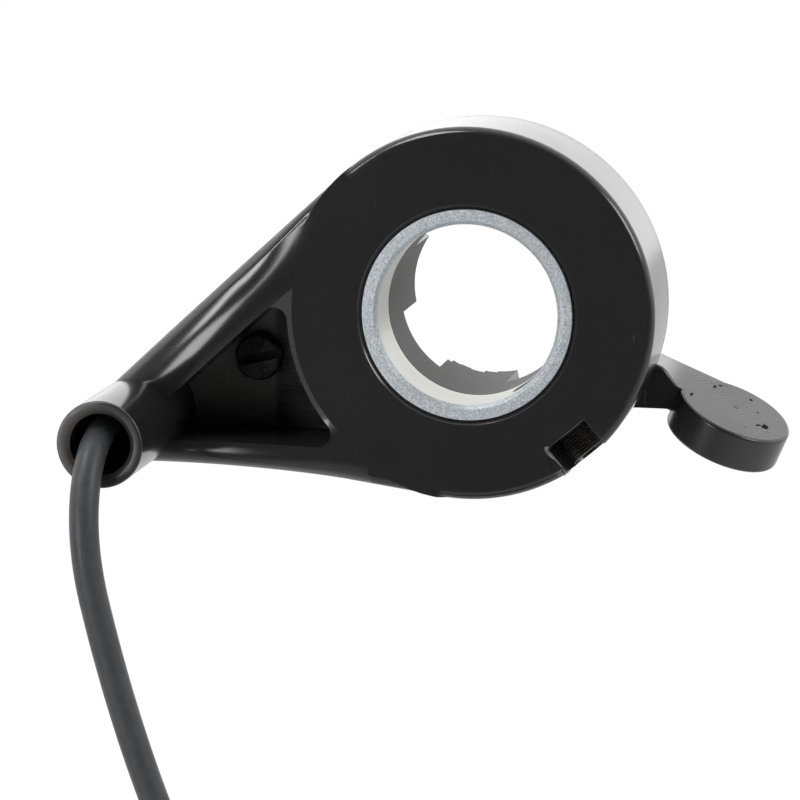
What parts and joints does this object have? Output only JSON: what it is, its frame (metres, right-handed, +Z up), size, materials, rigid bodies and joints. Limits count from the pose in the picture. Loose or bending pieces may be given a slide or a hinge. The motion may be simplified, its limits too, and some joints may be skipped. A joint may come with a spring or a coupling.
{
  "type": "thumb throttle lever",
  "caption": "Bar-clamped teardrop housing with a sprung lever and round thumb pad, and a cable with a round connector.",
  "frame": {"origin": "middle of the steel clamp ring, on the handlebar's axis", "axes": "+Y along the handlebar towards the grip, +Z up, +X towards the rider's thumb pad"},
  "size_m": [0.0863, 0.0547, 0.1726],
  "materials": {
    "housing": "glossy moulded black nylon, finely scratched",
    "lever": "glossy moulded black nylon, worn on the pad",
    "plated_steel": "zinc plated, dull",
    "black_screw": "black oxide, worn at the slot",
    "board": "satin solder mask",
    "sensor": "matt moulded",
    "green_wire": "smooth insulation",
    "red_wire": "smooth insulation",
    "black_wire": "smooth insulation",
    "rubber": "matt moulded",
    "nylon": "smooth",
    "spring_steel": "drawn wire",
    "magnet": "nickel plated",
    "cap": "satin",
    "cable_jacket": "matt extruded jacket",
    "tie": "hook and loop strap",
    "connector": "satin moulded",
    "connector_insert": "satin",
    "pins": "bright"
  },
  "bodies": {
    "housing": {"housing_shell": "housing", "rear_cover": "housing", "clamp_ring": "plated_steel", "clamp_screw": "black_screw", "cover_screw": "black_screw", "sensor_board": "board", "hall_sensor": "sensor", "signal_wire": "green_wire", "supply_wire": "red_wire", "ground_wire": "black_wire", "cable_grommet": "rubber", "thrust_washer": "nylon", "keeper_washer": "plated_steel", "return_spring": "spring_steel", "cable": "cable_jacket", "cable_coil": "cable_jacket", "coil_tie": "tie", "cable_end": "cable_jacket", "connector_body": "connector", "connector_shell": "connector", "connector_insert": "connector_insert", "connector_pins": "pins"},
    "lever": {"lever": "lever", "magnet_1": "magnet", "magnet_2": "magnet", "magnet_cap_1": "cap", "magnet_cap_2": "cap"}
  },
  "joints": [
    {"name": "lever_hinge", "type": "hinge", "parent": "housing", "child": "lever", "pos_m": [0, 0, 0], "axis": [0, 1, 0], "range_deg": [0, 55], "stiffness_Nm_per_rad": 0.09, "springref_deg": -40.11, "deforming": ["return_spring"]}
  ]
}
